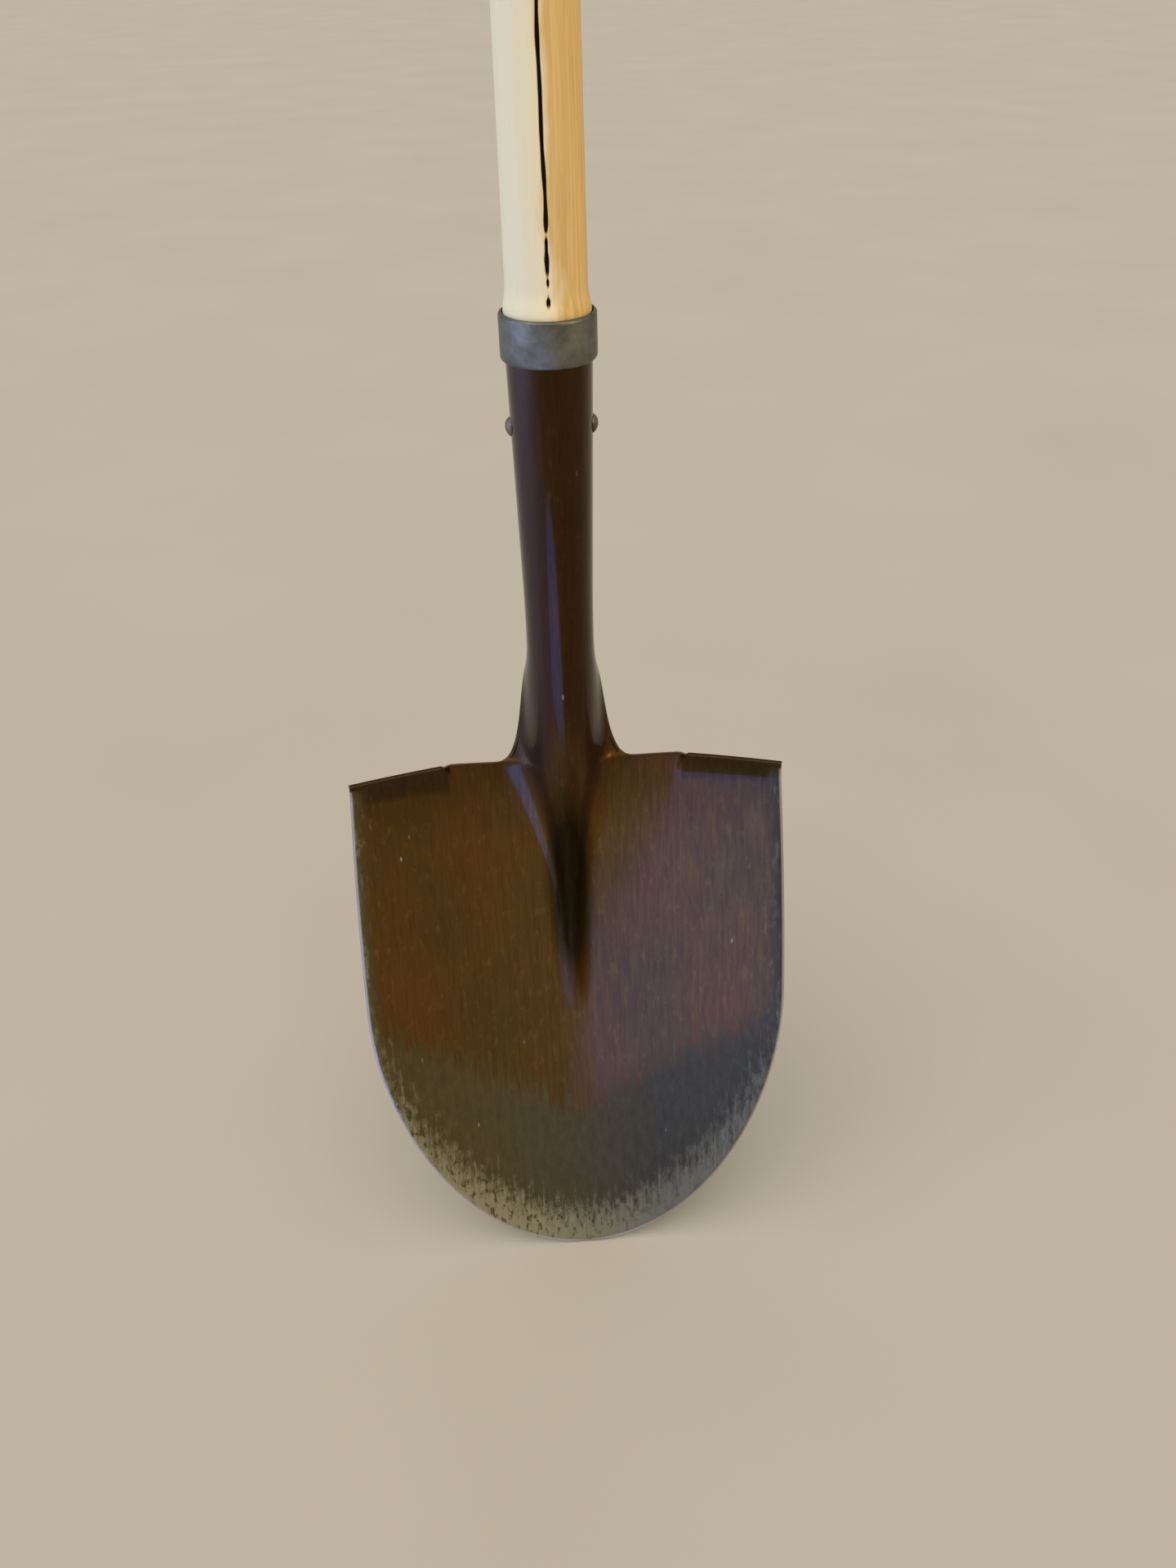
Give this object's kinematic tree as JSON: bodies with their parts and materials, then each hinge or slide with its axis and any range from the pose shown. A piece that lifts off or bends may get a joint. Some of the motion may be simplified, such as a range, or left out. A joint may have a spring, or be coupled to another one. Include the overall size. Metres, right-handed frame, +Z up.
{
  "type": "round-point shovel",
  "caption": "Long-handled digging shovel: dished steel blade with a rounded point, forward-turned steps, frog ridge, rolled socket, zinc collar and straight ash handle.",
  "frame": {"origin": "on the ground under the middle of the whole shovel, level with the blade's point", "axes": "+Z up along the handle, -Y out of the blade's dished front, +X to the right of someone facing that front"},
  "size_m": [0.2234, 0.1084, 1.5],
  "materials": {
    "blade_steel": "old brown-black lacquer over rolled steel, worn to bare metal along the cutting edge",
    "zinc": "dull zinc coating, scuffed",
    "rivet_steel": "darkened steel, hammered heads",
    "ash": "bare sanded ash, yellowed, with a long drying check"
  },
  "bodies": {
    "root": {"blade": "blade_steel", "collar": "zinc", "socket_rivet": "rivet_steel", "handle": "ash"}
  },
  "joints": []
}
